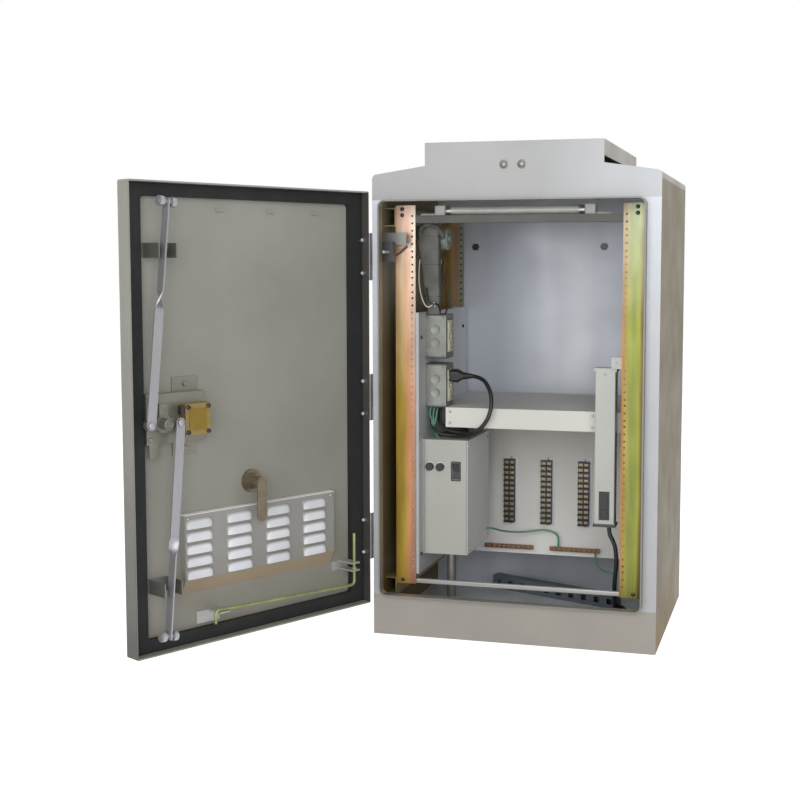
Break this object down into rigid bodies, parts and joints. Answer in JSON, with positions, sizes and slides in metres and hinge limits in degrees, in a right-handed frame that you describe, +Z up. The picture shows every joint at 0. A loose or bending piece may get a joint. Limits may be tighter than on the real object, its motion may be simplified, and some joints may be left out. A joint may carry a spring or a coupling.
{
  "type": "roadside utility cabinet",
  "caption": "Free-standing roadside cabinet with a gabled vent hood, a lipped opening, an open rack with power gear, and a louvred door with a rod latch and stay.",
  "frame": {"origin": "centre of the base, on the underside of the floor pan, midway between the four anchor holes", "axes": "+Z up, -Y out of the front opening, +X to the right seen from the front"},
  "size_m": [0.92, 1.0795, 1.055],
  "materials": {
    "painted_aluminium": "satin warm grey paint on sheet aluminium",
    "mill_aluminium": "bare sheet, brushed and slightly mottled",
    "yellow_zinc": "yellow passivated zinc with pink and green tints",
    "bare_steel": "zinc plated, satin",
    "grey_steel": "dull zinc plated",
    "dark_steel": "dark plated fasteners",
    "cream_paint": "smooth cream paint",
    "grey_paint": "smooth light grey paint",
    "black_rubber": "closed-cell sealing strip",
    "black_plastic": "moulded, matte",
    "dark_grey_plastic": "flexible dark grey sleeve",
    "white_plastic": "moulded, smooth",
    "grey_plastic": "moulded, smooth",
    "cream_plastic": "moulded, smooth",
    "frosted_glass": "frosted tube",
    "copper_bar": "bare copper",
    "brass_metal": "bare brass, dull",
    "green_plastic": "insulated wire"
  },
  "bodies": {
    "cabinet": {"front_header": "painted_aluminium", "front_sill": "painted_aluminium", "front_stile_left": "painted_aluminium", "front_stile_right": "painted_aluminium", "opening_lip": "painted_aluminium", "side_panel_left": "mill_aluminium", "side_panel_right": "mill_aluminium", "back_panel": "mill_aluminium", "floor_pan": "mill_aluminium", "roof_panel": "mill_aluminium", "roof_hood": "mill_aluminium", "shell_bolts": "dark_steel", "rack_rail_front_left": "yellow_zinc", "rack_rail_front_right": "yellow_zinc", "rack_rail_rear_left": "yellow_zinc", "rack_rail_rear_right": "yellow_zinc", "rail_supports": "yellow_zinc", "light_fixture": "cream_paint", "light_tube": "frosted_glass", "side_plate": "mill_aluminium", "outlet_boxes": "bare_steel", "receptacles": "cream_plastic", "supply_plug": "black_plastic", "power_leads": "black_rubber", "power_supply_case": "grey_paint", "conduit": "bare_steel", "equipment_shelf": "cream_paint", "terminal_board": "cream_paint", "terminal_blocks": "black_plastic", "bus_bars": "copper_bar", "earth_wires": "green_plastic", "power_strip": "white_plastic", "door_switch_bracket": "dark_steel", "door_switch": "grey_plastic", "temperature_switch": "grey_plastic", "lead_sleeve": "dark_grey_plastic", "cable_duct": "dark_grey_plastic", "hinge_frame_leaves": "painted_aluminium"},
    "door": {"door_pan": "painted_aluminium", "door_gasket": "black_rubber", "hinge_door_leaves": "painted_aluminium", "hinge_bolts": "grey_steel", "vent_cover": "painted_aluminium", "rod_guides": "grey_steel", "latch_case": "bare_steel", "lock_box": "brass_metal", "stay_brackets": "bare_steel"},
    "latch": {"latch_cam": "bare_steel", "latch_handle": "bare_steel"},
    "upper_rod": {"upper_rod": "bare_steel"},
    "lower_rod": {"lower_rod": "bare_steel"},
    "upper_rollers": {"upper_rollers": "bare_steel"},
    "lower_rollers": {"lower_rollers": "bare_steel"},
    "cam_lock": {"cam_lock": "bare_steel"},
    "stay_rod": {"stay_rod": "yellow_zinc"},
    "lock_bolt": {"lock_bolt": "dark_steel"},
    "fuse_cap_left": {"fuse_cap_left": "black_plastic"},
    "fuse_cap_right": {"fuse_cap_right": "black_plastic"},
    "rocker_switch": {"rocker_switch": "black_plastic"},
    "switch_plunger": {"switch_plunger": "white_plastic"}
  },
  "joints": [
    {"name": "door_swing", "type": "hinge", "parent": "cabinet", "child": "door", "pos_m": [-0.31, -0.261, 0.518], "axis": [0, 0, 1], "range_deg": [-20, 118]},
    {"name": "latch_turn", "type": "hinge", "parent": "door", "child": "latch", "pos_m": [-0.55628, -0.73484, 0.508], "axis": [-0.8829, 0.4695, 0], "range_deg": [0, 90]},
    {"name": "upper_rod_pivot", "type": "hinge", "parent": "latch", "child": "upper_rod", "pos_m": [-0.5582, -0.7704, 0.508], "axis": [-0.8829, 0.4695, 0], "range_deg": [-96, 5]},
    {"name": "lower_rod_pivot", "type": "hinge", "parent": "latch", "child": "lower_rod", "pos_m": [-0.52787, -0.71336, 0.508], "axis": [-0.8829, 0.4695, 0], "range_deg": [-96, 5]},
    {"name": "upper_roller_spin", "type": "hinge", "parent": "upper_rod", "child": "upper_rollers", "pos_m": [-0.53881, -0.73394, 0.916], "axis": [0.4671, 0.8785, -0.1007], "continuous": true},
    {"name": "lower_roller_spin", "type": "hinge", "parent": "lower_rod", "child": "lower_rollers", "pos_m": [-0.54445, -0.74453, 0.1095], "axis": [-0.4676, -0.8795, 0.0882], "continuous": true},
    {"name": "cam_lock_turn", "type": "hinge", "parent": "door", "child": "cam_lock", "pos_m": [-0.44877, -0.53265, 0.371], "axis": [-0.8829, 0.4695, 0], "range_deg": [0, 90]},
    {"name": "stay_swing", "type": "hinge", "parent": "door", "child": "stay_rod", "pos_m": [-0.32793, -0.31602, 0.16], "axis": [0, 0, -1], "range_deg": [-100, 0]},
    {"name": "lock_bolt_slide", "type": "slide", "parent": "door", "child": "lock_bolt", "axis": [-0.4695, -0.8829, 0], "range_m": [-0.009, 0.008]},
    {"name": "fuse_cap_left_turn", "type": "hinge", "parent": "cabinet", "child": "fuse_cap_left", "pos_m": [-0.2088, -0.144, 0.355], "axis": [0, -1, 0], "range_deg": [-90, 0]},
    {"name": "fuse_cap_right_turn", "type": "hinge", "parent": "cabinet", "child": "fuse_cap_right", "pos_m": [-0.185, -0.144, 0.355], "axis": [0, -1, 0], "range_deg": [-90, 0]},
    {"name": "rocker_tilt", "type": "hinge", "parent": "cabinet", "child": "rocker_switch", "pos_m": [-0.1498, -0.144, 0.346], "axis": [1, 0, 0], "range_deg": [-6, 6]},
    {"name": "plunger_slide", "type": "slide", "parent": "cabinet", "child": "switch_plunger", "axis": [0, 1, 0], "range_m": [0, 0.005], "stiffness_N_per_m": 200}
  ],
  "couplings": [
    {"joint": "upper_rod_pivot", "follows": "latch_turn", "ratio": -1.0502},
    {"joint": "lower_rod_pivot", "follows": "latch_turn", "ratio": -1.0515}
  ]
}
